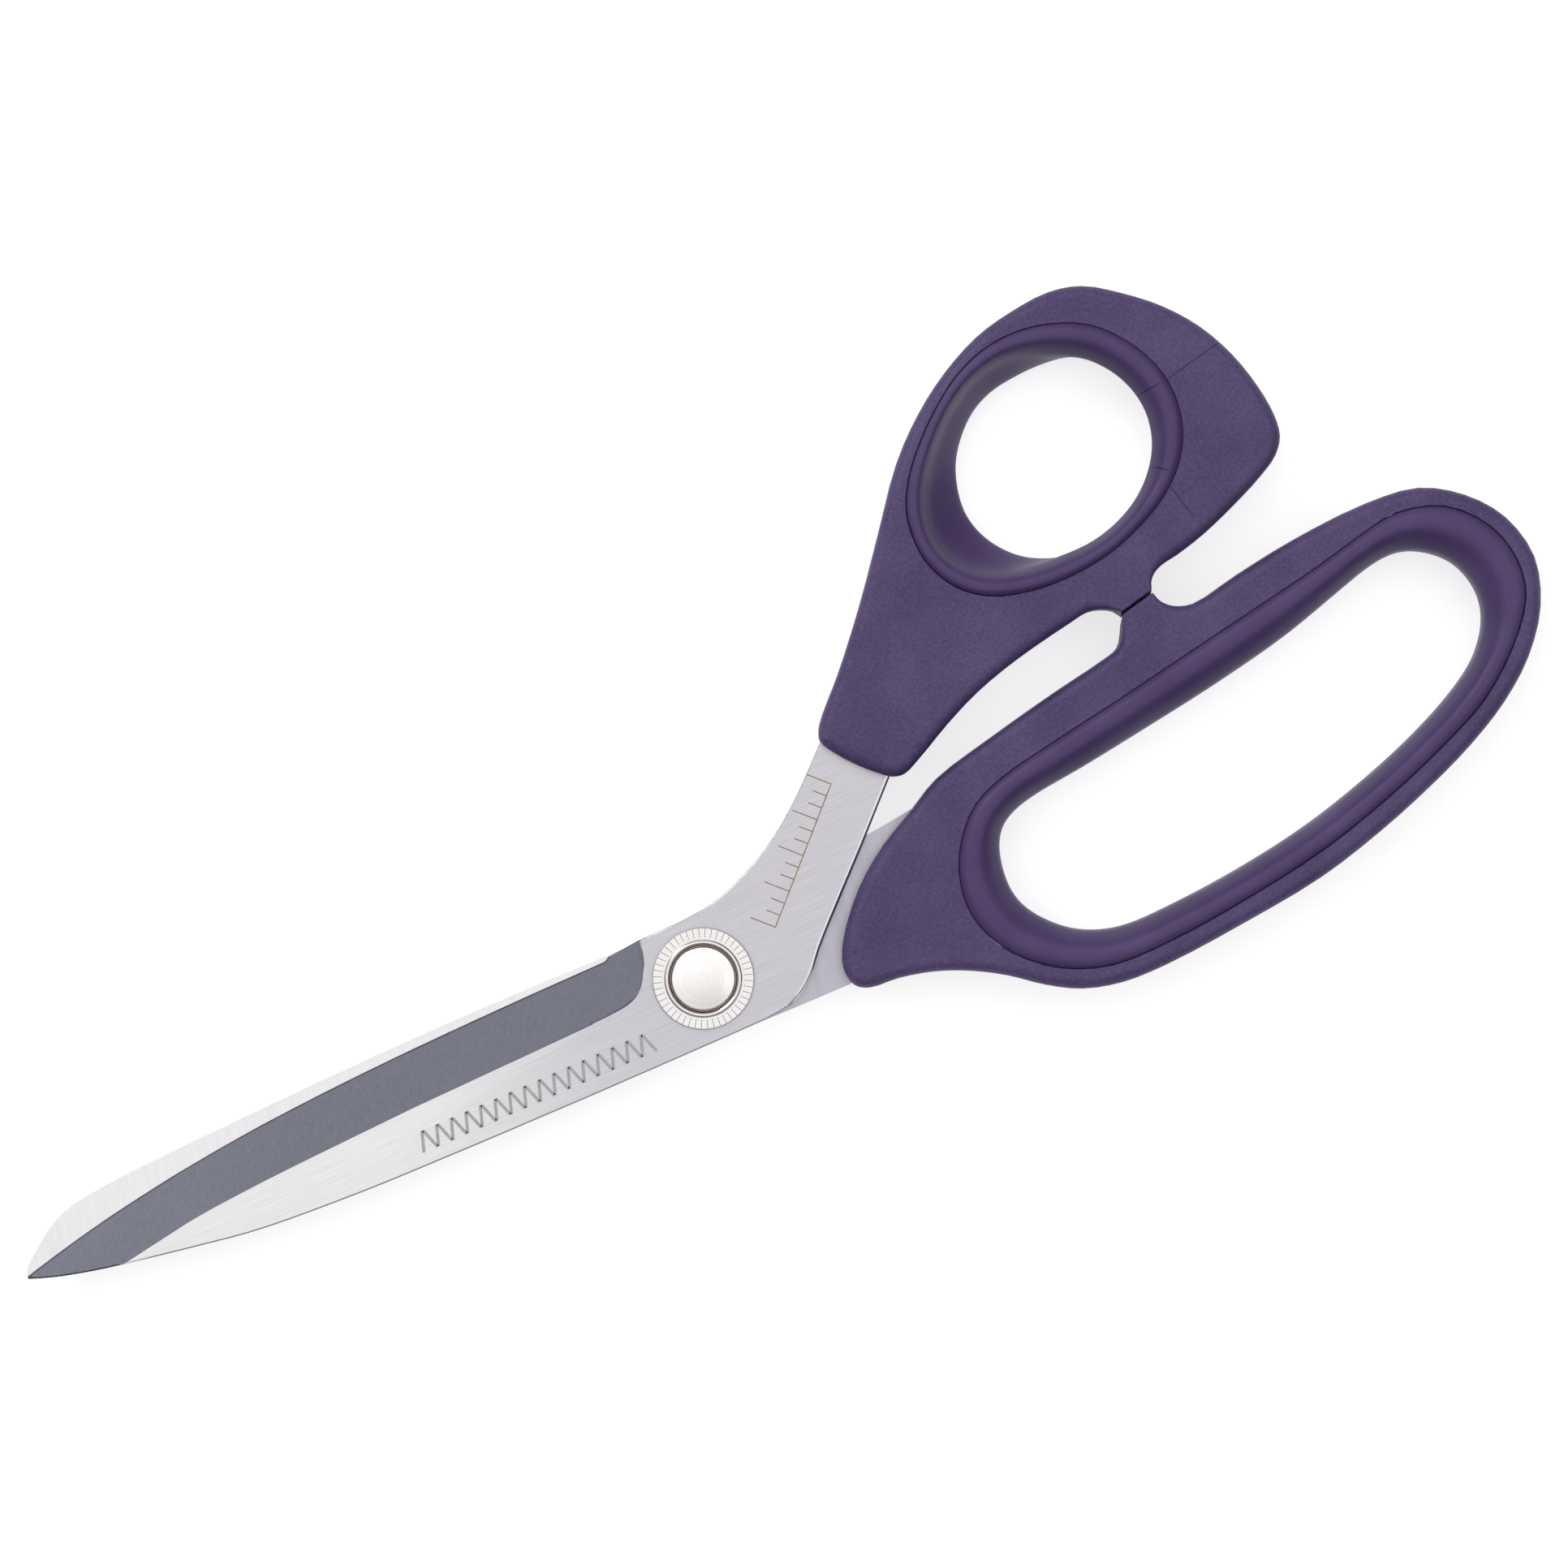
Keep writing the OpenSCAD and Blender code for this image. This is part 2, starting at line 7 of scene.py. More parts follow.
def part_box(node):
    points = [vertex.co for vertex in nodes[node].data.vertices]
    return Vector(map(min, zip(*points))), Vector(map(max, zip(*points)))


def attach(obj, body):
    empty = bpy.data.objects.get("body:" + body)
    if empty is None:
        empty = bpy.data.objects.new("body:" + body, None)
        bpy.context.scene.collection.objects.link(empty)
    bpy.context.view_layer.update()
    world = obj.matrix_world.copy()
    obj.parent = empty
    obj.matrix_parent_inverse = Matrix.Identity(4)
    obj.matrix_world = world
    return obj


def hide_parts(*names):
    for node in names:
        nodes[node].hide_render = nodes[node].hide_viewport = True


# Tailor's shears lying shut on a pale table. Lengths in the dictionaries are millimetres.
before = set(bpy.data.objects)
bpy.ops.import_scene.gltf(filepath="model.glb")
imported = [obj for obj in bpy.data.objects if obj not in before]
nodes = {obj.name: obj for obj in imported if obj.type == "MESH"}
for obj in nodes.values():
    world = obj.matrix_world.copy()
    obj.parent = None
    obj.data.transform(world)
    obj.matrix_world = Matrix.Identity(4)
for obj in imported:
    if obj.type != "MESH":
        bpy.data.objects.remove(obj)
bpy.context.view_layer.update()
mm = 0.001

studLow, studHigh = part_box("pivot_stud")
pivot = (studLow + studHigh) / 2  # the axis that both blades turn on
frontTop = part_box("front_blade")[1].z
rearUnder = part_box("rear_blade")[0].z
handleLow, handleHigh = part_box("finger_handle")
handleMiddle = (handleLow.z + handleHigh.z) / 2
weld = 0.002 * mm  # corners closer than this are one corner


def fromPivot(x, y, z=0.0):  # x and y from the pivot's axis, z from the table
    return Vector((pivot.x + x * mm, pivot.y + y * mm, z * mm))


print("frame loaded:", len(nodes), "nodes")


# ---- mesh helpers

def mergedCopy(nodeName):
    shape = bmesh.new()
    shape.from_mesh(nodes[nodeName].data)
    for layer in list(shape.loops.layers.uv):
        shape.loops.layers.uv.remove(layer)
    bmesh.ops.remove_doubles(shape, verts=shape.verts, dist=weld)
    bmesh.ops.dissolve_degenerate(shape, edges=shape.edges, dist=weld)
    return shape


def dissolveFlats(shape, degrees=0.3):  # faces that lie in one plane become one face
    bmesh.ops.dissolve_limit(shape, angle_limit=math.radians(degrees), use_dissolve_boundaries=False,
                             verts=shape.verts, edges=shape.edges, delimit=set())
    shape.normal_update()


def sharpen(shape, degrees):  # edges that turn more than this stay crisp
    for edge in shape.edges:
        edge.smooth = not (edge.is_manifold and edge.calc_face_angle(0) > math.radians(degrees))


def finishPiece(name, shape, body, nodeName, materials, weighted=True):
    for face in shape.faces:
        face.smooth = True
    data = bpy.data.meshes.new(name)
    shape.to_mesh(data)
    shape.free()
    for material in materials:
        data.materials.append(material)
    piece = bpy.data.objects.new(name, data)
    bpy.context.scene.collection.objects.link(piece)
    if weighted:
        modifier = piece.modifiers.new("faceNormals", "WEIGHTED_NORMAL")
        modifier.keep_sharp = True
        modifier.weight = 60
    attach(piece, body)
    if nodeName:
        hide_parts(nodeName)
    print("made", name, len(data.polygons), "faces")
    return piece


def turned(profile, steps, centre):  # a profile of (radius, height) turned round an upright axis
    shape = bmesh.new()
    verts = [shape.verts.new((centre.x + r * mm, centre.y, z * mm)) for r, z in profile]
    edges = [shape.edges.new(pair) for pair in zip(verts, verts[1:])]
    bmesh.ops.spin(shape, geom=verts + edges, cent=(centre.x, centre.y, 0), axis=(0, 0, 1),
                   angle=math.tau, steps=steps, use_merge=True, use_duplicate=False)
    bmesh.ops.remove_doubles(shape, verts=shape.verts, dist=weld)
    bmesh.ops.recalc_face_normals(shape, faces=shape.faces)
    shape.normal_update()
    return shape


# ---- shader helpers

def put(tree, kind, values=None, **settings):
    node = tree.nodes.new(kind)
    for key, value in settings.items():
        setattr(node, key, value)
    for key, value in (values or {}).items():
        node.inputs[key].default_value = value
    return node


def wire(tree, source, output, target, entry):
    tree.links.new(source.outputs[output], target.inputs[entry])


def newGroup(name, inputs, outputs):
    tree = bpy.data.node_groups.new(name, "ShaderNodeTree")
    for label, kind, value in inputs:
        socket = tree.interface.new_socket(label, in_out="INPUT", socket_type=kind)
        socket.default_value = value
    for label, kind in outputs:
        tree.interface.new_socket(label, in_out="OUTPUT", socket_type=kind)
    return tree, tree.nodes.new("NodeGroupInput"), tree.nodes.new("NodeGroupOutput")


def makeBrushing():  # fine lines that run along one direction, with slow streaks among them
    tree, entry, leave = newGroup(
        "brushing",
        [("Vector", "NodeSocketVector", (0, 0, 0)), ("Stretch", "NodeSocketVector", (30, 4000, 4000)),
         ("Streak", "NodeSocketFloat", 0.12)],
        [("Height", "NodeSocketFloat"), ("Streaks", "NodeSocketFloat")])
    fine = put(tree, "ShaderNodeVectorMath", operation="MULTIPLY")
    wire(tree, entry, "Vector", fine, 0)
    wire(tree, entry, "Stretch", fine, 1)
    lines = put(tree, "ShaderNodeTexNoise", {"Scale": 1.0, "Detail": 4.0, "Roughness": 0.65})
    wire(tree, fine, 0, lines, "Vector")
    slow = put(tree, "ShaderNodeVectorMath", operation="SCALE")
    wire(tree, fine, 0, slow, 0)
    wire(tree, entry, "Streak", slow, "Scale")
    streaks = put(tree, "ShaderNodeTexNoise", {"Scale": 1.0, "Detail": 3.0, "Roughness": 0.55})
    wire(tree, slow, 0, streaks, "Vector")
    wire(tree, lines, "Fac", leave, "Height")
    wire(tree, streaks, "Fac", leave, "Streaks")
    return tree


def makeMouldGrain():  # the fine spark-eroded skin of moulded plastic, with a slow unevenness
    tree, entry, leave = newGroup(
        "mouldGrain",
        [("Vector", "NodeSocketVector", (0, 0, 0)), ("Grain", "NodeSocketFloat", 4200.0),
         ("Patch", "NodeSocketFloat", 60.0)],
        [("Height", "NodeSocketFloat"), ("Patches", "NodeSocketFloat")])
    pits = put(tree, "ShaderNodeTexNoise", {"Detail": 3.0, "Roughness": 0.6})
    wire(tree, entry, "Vector", pits, "Vector")
    wire(tree, entry, "Grain", pits, "Scale")
    patches = put(tree, "ShaderNodeTexNoise", {"Detail": 4.0, "Roughness": 0.5})
    wire(tree, entry, "Vector", patches, "Vector")
    wire(tree, entry, "Patch", patches, "Scale")
    wire(tree, pits, "Fac", leave, "Height")
    wire(tree, patches, "Fac", leave, "Patches")
    return tree


def makeHandling():  # faint smears and specks that use leaves on a surface
    tree, entry, leave = newGroup(
        "handling", [("Vector", "NodeSocketVector", (0, 0, 0)), ("Scale", "NodeSocketFloat", 45.0)],
        [("Smears", "NodeSocketFloat"), ("Specks", "NodeSocketFloat")])
    smears = put(tree, "ShaderNodeTexNoise", {"Detail": 5.0, "Roughness": 0.7, "Distortion": 0.8})
    wire(tree, entry, "Vector", smears, "Vector")
    wire(tree, entry, "Scale", smears, "Scale")
    soften = put(tree, "ShaderNodeMapRange", {"From Min": 0.42, "From Max": 0.72})
    wire(tree, smears, "Fac", soften, "Value")
    finer = put(tree, "ShaderNodeMath", {1: 26.0}, operation="MULTIPLY")
    wire(tree, entry, "Scale", finer, 0)
    specks = put(tree, "ShaderNodeTexNoise", {"Detail": 1.0})
    wire(tree, entry, "Vector", specks, "Vector")
    wire(tree, finer, 0, specks, "Scale")
    pick = put(tree, "ShaderNodeMapRange", {"From Min": 0.7, "From Max": 0.78})
    wire(tree, specks, "Fac", pick, "Value")
    wire(tree, soften, "Result", leave, "Smears")
    wire(tree, pick, "Result", leave, "Specks")
    return tree


def makeLineMark():  # a hairline between two points, 1 on the line and 0 away from it
    tree, entry, leave = newGroup(
        "lineMark",
        [("Vector", "NodeSocketVector", (0, 0, 0)), ("Start", "NodeSocketVector", (0, 0, 0)),
         ("Way", "NodeSocketVector", (1, 0, 0)), ("Width", "NodeSocketFloat", 0.00015)],
        [("Mark", "NodeSocketFloat")])
    away = put(tree, "ShaderNodeVectorMath", operation="SUBTRACT")
    wire(tree, entry, "Vector", away, 0)
    wire(tree, entry, "Start", away, 1)
    flat = put(tree, "ShaderNodeVectorMath", {1: (1, 1, 0)}, operation="MULTIPLY")
    wire(tree, away, 0, flat, 0)
    along = put(tree, "ShaderNodeVectorMath", operation="DOT_PRODUCT")
    wire(tree, flat, 0, along, 0)
    wire(tree, entry, "Way", along, 1)
    size = put(tree, "ShaderNodeVectorMath", operation="DOT_PRODUCT")
    wire(tree, entry, "Way", size, 0)
    wire(tree, entry, "Way", size, 1)
    share = put(tree, "ShaderNodeMath", operation="DIVIDE", use_clamp=True)
    wire(tree, along, "Value", share, 0)
    wire(tree, size, "Value", share, 1)
    foot = put(tree, "ShaderNodeVectorMath", operation="SCALE")
    wire(tree, entry, "Way", foot, 0)
    wire(tree, share, 0, foot, "Scale")
    gap = put(tree, "ShaderNodeVectorMath", operation="DISTANCE")
    wire(tree, flat, 0, gap, 0)
    wire(tree, foot, 0, gap, 1)
    near = put(tree, "ShaderNodeMapRange", {"From Min": 0.0, "To Min": 1.0, "To Max": 0.0},
               interpolation_type="SMOOTHSTEP")
    wire(tree, gap, "Value", near, "Value")
    wire(tree, entry, "Width", near, "From Max")
    wire(tree, near, "Result", leave, "Mark")
    return tree


brushing = makeBrushing()
mouldGrain = makeMouldGrain()
handling = makeHandling()
lineMark = makeLineMark()


def placeGroup(tree, group, values):
    node = tree.nodes.new("ShaderNodeGroup")
    node.node_tree = group
    for key, value in values.items():
        node.inputs[key].default_value = value
    return node


def newMaterial(name, settings):  # gives the material, its tree, its shader and its coordinates
    material = bpy.data.materials.new(name)
    material.use_nodes = True
    tree = material.node_tree
    shader = tree.nodes["Principled BSDF"]
    for key, value in settings.items():
        shader.inputs[key].default_value = value
    place = put(tree, "ShaderNodeTexCoord")
    return material, tree, shader, place


def twoTones(tree, mask, output, dark, light, low=0.3, high=0.7):  # dark below low, light above high
    spread = put(tree, "ShaderNodeMapRange", {"From Min": low, "From Max": high})
    wire(tree, mask, output, spread, "Value")
    mix = put(tree, "ShaderNodeMix", data_type="RGBA")
    mix.inputs["A"].default_value = (*dark, 1)
    mix.inputs["B"].default_value = (*light, 1)
    wire(tree, spread, "Result", mix, "Factor")
    return mix


def ranged(tree, mask, output, limits, low=0.3, high=0.7):
    spread = put(tree, "ShaderNodeMapRange",
                 {"From Min": low, "From Max": high, "To Min": limits[0], "To Max": limits[1]})
    wire(tree, mask, output, spread, "Value")
    return spread


def mixOutput(tree, mix, target, entry):
    tree.links.new(mix.outputs["Result"], target.inputs[entry])


def tinted(tree, colour, mask, output, strength, tint, blend="MIX"):  # the tint laid on by a mask
    part = put(tree, "ShaderNodeMath", {1: strength}, operation="MULTIPLY")
    wire(tree, mask, output, part, 0)
    mix = put(tree, "ShaderNodeMix", data_type="RGBA", blend_type=blend)
    mixOutput(tree, colour, mix, "A")
    mix.inputs["B"].default_value = (*tint, 1)
    wire(tree, part, 0, mix, "Factor")
    return mix


def bumpFrom(tree, mask, output, shader, strength, distance):
    bump = put(tree, "ShaderNodeBump", {"Strength": strength, "Distance": distance})
    wire(tree, mask, output, bump, "Height")
    wire(tree, bump, "Normal", shader, "Normal")


# ---- steel

steel = {
    "fine": 0.8,  # how much of the tone comes from the fine lines, the rest from the streaks
    "contrast": (0.34, 0.66),  # where the mixed noise is all dark and all light
    "smearScale": 40.0, "smear": 0.3, "stain": (0.92, 0.92, 0.94), "bumpDepth": 0.02,
}


def steelMaterial(name, look):
    material, tree, shader, place = newMaterial(name, {"Metallic": 1.0})
    lines = placeGroup(tree, brushing, {"Stretch": look["stretch"], "Streak": look["streak"]})
    if look.get("turn"):
        mapping = put(tree, "ShaderNodeMapping", {"Rotation": (0, 0, math.radians(look["turn"]))})
        wire(tree, place, "Object", mapping, "Vector")
        wire(tree, mapping, "Vector", lines, "Vector")
    else:
        wire(tree, place, "Object", lines, "Vector")
    fine = put(tree, "ShaderNodeMath", {1: steel["fine"]}, operation="MULTIPLY")
    wire(tree, lines, "Height", fine, 0)
    mixed = put(tree, "ShaderNodeMath", {1: 1 - steel["fine"]}, operation="MULTIPLY_ADD")
    wire(tree, lines, "Streaks", mixed, 0)
    wire(tree, fine, 0, mixed, 2)
    tones = twoTones(tree, mixed, 0, look["dark"], look["light"], *steel["contrast"])
    if "fade" in look:  # painted shade: the steel turns cooler and darker towards the pivot
        parts = put(tree, "ShaderNodeSeparateXYZ")
        wire(tree, place, "Object", parts, "Vector")
        begin, end = (fromPivot(x, 0).x for x in look["fade"])
        share = put(tree, "ShaderNodeMapRange", {"From Min": begin, "From Max": end},
                    interpolation_type="SMOOTHSTEP")
        wire(tree, parts, "X", share, "Value")
        faded = put(tree, "ShaderNodeMix", data_type="RGBA", blend_type="MULTIPLY")
        mixOutput(tree, tones, faded, "A")
        faded.inputs["B"].default_value = (*look["fadeTint"], 1)
        wire(tree, share, "Result", faded, "Factor")
        tones = faded
    smears = placeGroup(tree, handling, {"Scale": steel["smearScale"]})
    wire(tree, place, "Object", smears, "Vector")
    stain = look.get("stain", steel["stain"])
    tones = tinted(tree, tones, smears, "Smears", steel["smear"], stain, "MULTIPLY")
    mixOutput(tree, tones, shader, "Base Color")
    rough = ranged(tree, lines, "Streaks", look["rough"])
    wire(tree, rough, "Result", shader, "Roughness")
    bumpFrom(tree, lines, "Height", shader, look["bump"], steel["bumpDepth"] * mm)
    return material


# "stretch" is how closely the lines lie along each axis; the shade span gives where the painted shade
# towards the pivot begins and ends in x
bladeLooks = {
    # the face takes painted shade and dimmer reflection towards the pivot
    "face": {"stretch": (130, 7500, 7500), "streak": 0.3, "dark": (0.585, 0.57, 0.57),
             "light": (0.70, 0.685, 0.68), "rough": (0.3, 0.38), "bump": 0.3,
             "fade": (-48, -6), "fadeTint": (0.735, 0.73, 0.785)},
    # the ground bevel's dark tone is partly its own ground finish and partly painted dark reflection
    "ground": {"stretch": (5200, 300, 5200), "streak": 0.2, "dark": (0.102, 0.105, 0.131),
               "light": (0.128, 0.131, 0.157), "rough": (0.38, 0.46), "bump": 0.2, "turn": 4,
               "stain": (0.9, 0.91, 0.94)},
    # the inner face takes painted shade from the front blade and the handle towards the pivot
    "inner": {"stretch": (3600, 200, 3600), "streak": 0.16, "dark": (0.635, 0.615, 0.63),
              "light": (0.70, 0.68, 0.695), "rough": (0.26, 0.36), "bump": 0.25, "turn": 12,
              "fade": (-12, 10), "fadeTint": (0.6, 0.6, 0.655)},
    # a darker copy of the blade steel for the sides and broken edges: painted dark reflection
    "edge": {"stretch": (160, 4000, 4000), "streak": 0.2, "dark": (0.33, 0.325, 0.36),
             "light": (0.43, 0.425, 0.46), "rough": (0.24, 0.34), "bump": 0.2},
    "shank": {"stretch": (160, 4000, 4000), "streak": 0.2, "dark": (0.6, 0.59, 0.61),
              "light": (0.72, 0.71, 0.73), "rough": (0.24, 0.32), "bump": 0.15},
    # near black: a painted shadow line along the top of the cutting edge
    "landShadow": {"stretch": (400, 4000, 4000), "streak": 0.2, "dark": (0.05, 0.05, 0.06),
             "light": (0.09, 0.09, 0.11), "rough": (0.4, 0.5), "bump": 0.2},
}
surfaces = list(bladeLooks)
bladeSteels = [steelMaterial("blade" + key.capitalize(), look) for key, look in bladeLooks.items()]
print("steel materials ready")


# ---- blades

blade = {
    "shankRound": 0.48,  # rounding of the shank's edge that shows beside the rear blade
    "breakEdge": 0.2,  # all the other edges are only broken
    "landBreak": 0.22,  # the painted shadow line along the top of the cutting edge
    "crispFrom": 6,  # degrees
    "flat": 0.9995,  # a face is the flat one when its normal points outwards by more than this
    "ground": (0.9, 0.995),  # and the ground one between these
    "groundEnds": -4, "landEnds": -9,  # x from the pivot's axis
    "level": 0.999, "upright": 0.3, "tall": 1,  # edges are rounded where a tall side meets a flat face
    "shankFrom": 9.5, "shankSlope": 0.75, "shankDrop": 6,  # the shank's edge is right of and below this
    "roundSteps": 4,
}


def facesOut(edge, side):  # how far the normals beside an edge point outwards, the larger first
    if len(edge.link_faces) != 2:
        return (0, 0)
    return tuple(sorted((face.normal.z * side for face in edge.link_faces), reverse=True))


def roundEdges(shape, edges, width, material):
    if edges:
        made = bmesh.ops.bevel(shape, geom=edges, offset=width * mm, offset_type="OFFSET",
                               segments=blade["roundSteps"], profile=0.5, affect="EDGES",
                               clamp_overlap=False, material=-1)
        for face in made["faces"]:
            face.material_index = material
        for edge in {e for face in made["faces"] for e in face.edges}:
            edge.smooth = True


def makeBlade(name, nodeName, body, side):
    shape = mergedCopy(nodeName)
    dissolveFlats(shape)
    sharpen(shape, blade["crispFrom"])
    level = frontTop if side > 0 else rearUnder
    groundLow, groundHigh = blade["ground"]
    for face in shape.faces:
        out = face.normal.z * side
        along = (face.calc_center_median().x - pivot.x) / mm
        if out > blade["flat"]:
            face.material_index = surfaces.index("face")
        elif groundLow < out < groundHigh and along < blade["groundEnds"]:
            face.material_index = surfaces.index("ground")
        elif out < -groundLow:
            face.material_index = surfaces.index("inner")
        else:
            # the sides and remaining faces take the darker copy, painted dark reflection
            face.material_index = surfaces.index("edge")
    shank, rim, landShadow = [], [], []
    for edge in shape.edges:
        upper, lower = facesOut(edge, side)
        middle = ((edge.verts[0].co + edge.verts[1].co) / 2 - pivot) / mm
        atTop = all(abs(v.co.z - level) < 1.5 * weld for v in edge.verts)
        heights = [v.co.z for face in edge.link_faces for v in face.verts]
        tall = max(heights) - min(heights) > blade["tall"] * mm
        meetsSide = abs(lower) < blade["upright"]
        if atTop and meetsSide and tall and upper > blade["level"]:
            line = middle.x * blade["shankSlope"] - blade["shankDrop"]
            besideRear = side > 0 and middle.x > blade["shankFrom"] and middle.y < line
            (shank if besideRear else rim).append(edge)
        elif side > 0 and meetsSide and groundLow < upper < groundHigh and middle.x < blade["landEnds"]:
            landShadow.append(edge)
    roundEdges(shape, shank, blade["shankRound"], surfaces.index("shank"))
    # the broken edges take the darker copy, painted dark reflection
    roundEdges(shape, [e for e in rim if e.is_valid], blade["breakEdge"], surfaces.index("edge"))
    # the rounding along the top of the cutting edge is coloured as a painted shadow line
    roundEdges(shape, [e for e in landShadow if e.is_valid], blade["landBreak"], surfaces.index("landShadow"))
    low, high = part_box(nodeName)
    for vert in shape.verts:  # a corner of the rounding may not stand out of the blade's box
        vert.co = Vector(min(max(c, a), b) for c, a, b in zip(vert.co, low, high))
    shape.normal_update()
    finishPiece(name, shape, body, nodeName, bladeSteels)


makeBlade("frontBlade", "front_blade", "front_half", 1)
makeBlade("rearBlade", "rear_blade", "rear_half", -1)


# ---- handles

plastic = {
    "patch": 130.0, "contrast": (0.34, 0.66), "bumpDepth": 0.03,
    "smearScale": 60.0, "speck": 0.25, "speckColour": (0.085, 0.07, 0.13),
    "lineWidth": 0.14, "line": 0.9, "lineColour": (0.012, 0.006, 0.028),
    "body": {"dark": (0.044, 0.027, 0.090), "light": (0.087, 0.060, 0.155), "rough": (0.5, 0.58),
             "grain": 2600.0, "speckle": 0.6, "bump": 0.7, "shine": 0.4, "index": 1.4},
    "liner": {"dark": (0.060, 0.037, 0.113), "light": (0.076, 0.050, 0.138), "rough": (0.4, 0.48),
              "grain": 2000.0, "speckle": 0.2, "bump": 0.12, "shine": 0.4, "index": 1.3},
}
weldLines = {  # where two flows of plastic met in the mould, from point to point
    "thumbBody": [((83.2, 44.9), (91.6, 46.6)), ((78.2, 33.8), (79.7, 27.9))],
    "thumbLiner": [((79.4, 44.6), (82.5, 44.9)), ((77.5, 35.8), (79.0, 34.6))],
}


def plasticMaterial(name, look, lines=()):
    material, tree, shader, place = newMaterial(
        name, {"Specular IOR Level": look["shine"], "IOR": look["index"]})
    grain = placeGroup(tree, mouldGrain, {"Grain": look["grain"], "Patch": plastic["patch"]})
    wire(tree, place, "Object", grain, "Vector")
    speckle = put(tree, "ShaderNodeMath", {1: look["speckle"]}, operation="MULTIPLY")
    wire(tree, grain, "Height", speckle, 0)
    mottle = put(tree, "ShaderNodeMath", {1: 1 - look["speckle"]}, operation="MULTIPLY_ADD")
    wire(tree, grain, "Patches", mottle, 0)
    wire(tree, speckle, 0, mottle, 2)
    colour = twoTones(tree, mottle, 0, look["dark"], look["light"], *plastic["contrast"])
    smears = placeGroup(tree, handling, {"Scale": plastic["smearScale"]})
    wire(tree, place, "Object", smears, "Vector")
    colour = tinted(tree, colour, smears, "Specks", plastic["speck"], plastic["speckColour"])
    for start, end in lines:
        first, last = fromPivot(*start), fromPivot(*end)
        mark = placeGroup(tree, lineMark, {"Start": first, "Way": last - first,
                                           "Width": plastic["lineWidth"] * mm})
        wire(tree, place, "Object", mark, "Vector")
        colour = tinted(tree, colour, mark, "Mark", plastic["line"], plastic["lineColour"])
    mixOutput(tree, colour, shader, "Base Color")
    rough = ranged(tree, smears, "Smears", look["rough"], 0.0, 1.0)
    wire(tree, rough, "Result", shader, "Roughness")
    bumpFrom(tree, grain, "Height", shader, look["bump"], plastic["bumpDepth"] * mm)
    return material


thumbPlastic = plasticMaterial("thumbPlastic", plastic["body"], weldLines["thumbBody"])
fingerPlastic = plasticMaterial("fingerPlastic", plastic["body"])
thumbLinerPlastic = plasticMaterial("thumbLinerPlastic", plastic["liner"], weldLines["thumbLiner"])
fingerLinerPlastic = plasticMaterial("fingerLinerPlastic", plastic["liner"])


handle = {"flat": 0.2, "crispFrom": 50}  # degrees
# the line between the two stop faces, how far past it and beside it their corners are, and the slant
stop = {"from": (66.6, 20.2), "to": (71.2, 21.2), "past": 0.3, "reach": 0.75, "slant": 0.3}


def slantStop(shape):  # both stop faces lean the same way, so no light comes up through the gap
    start, end = fromPivot(*stop["from"]).xy, fromPivot(*stop["to"]).xy
    way = (end - start).normalized()
    side = Vector((-way.y, way.x))
    past = stop["past"] * mm
    for vert in shape.verts:
        arm = vert.co.xy - start
        onFace = -past < arm.dot(way) < (end - start).length + past
        if onFace and abs(arm.dot(side)) < stop["reach"] * mm:
            lean = stop["slant"] * mm * (vert.co.z - handleMiddle) / (handleHigh.z - handleMiddle)
            vert.co.x += side.x * lean
            vert.co.y += side.y * lean


def makeHandle(name, nodeName, body, material):
    shape = mergedCopy(nodeName)
    dissolveFlats(shape, handle["flat"])
    slantStop(shape)
    sharpen(shape, handle["crispFrom"])
    finishPiece(name, shape, body, nodeName, [material])


liner = {
    "crease": 0.35,  # how far below the handle's face the liner begins
    "joinFace": 60, "joinShape": 85,  # degrees within which two triangles join into a square
    "levels": 2,
}


def makeLiner(name, nodeName, body, material):
    shape = mergedCopy(nodeName)
    bmesh.ops.join_triangles(shape, faces=shape.faces, cmp_seam=False, cmp_sharp=False, cmp_uvs=False,
                             cmp_vcols=False, cmp_materials=False,
                             angle_face_threshold=math.radians(liner["joinFace"]),
                             angle_shape_threshold=math.radians(liner["joinShape"]))
    crease = shape.edges.layers.float.new("crease_edge")
    reach = handleHigh.z - handleMiddle - liner["crease"] * mm
    for edge in shape.edges:  # the corner beside the handle stays crisp, so the seam stays fine
        a, b = [v.co.z - handleMiddle for v in edge.verts]
        if abs(a - b) < 5 * weld and abs(abs(a) - reach) < 10 * weld:
            edge[crease] = 1.0
    piece = finishPiece(name, shape, body, nodeName, [material], weighted=False)
    smooth = piece.modifiers.new("smooth", "SUBSURF")
    smooth.levels = smooth.render_levels = liner["levels"]


makeHandle("thumbHandle", "thumb_handle", "front_half", thumbPlastic)
makeHandle("fingerHandle", "finger_handle", "rear_half", fingerPlastic)
makeLiner("thumbLiner", "thumb_liner", "front_half", thumbLinerPlastic)
makeLiner("fingerLiner", "finger_liner", "rear_half", fingerLinerPlastic)


# ---- pivot

lathe = {"smearScale": 160.0, "bumpDepth": 0.01}


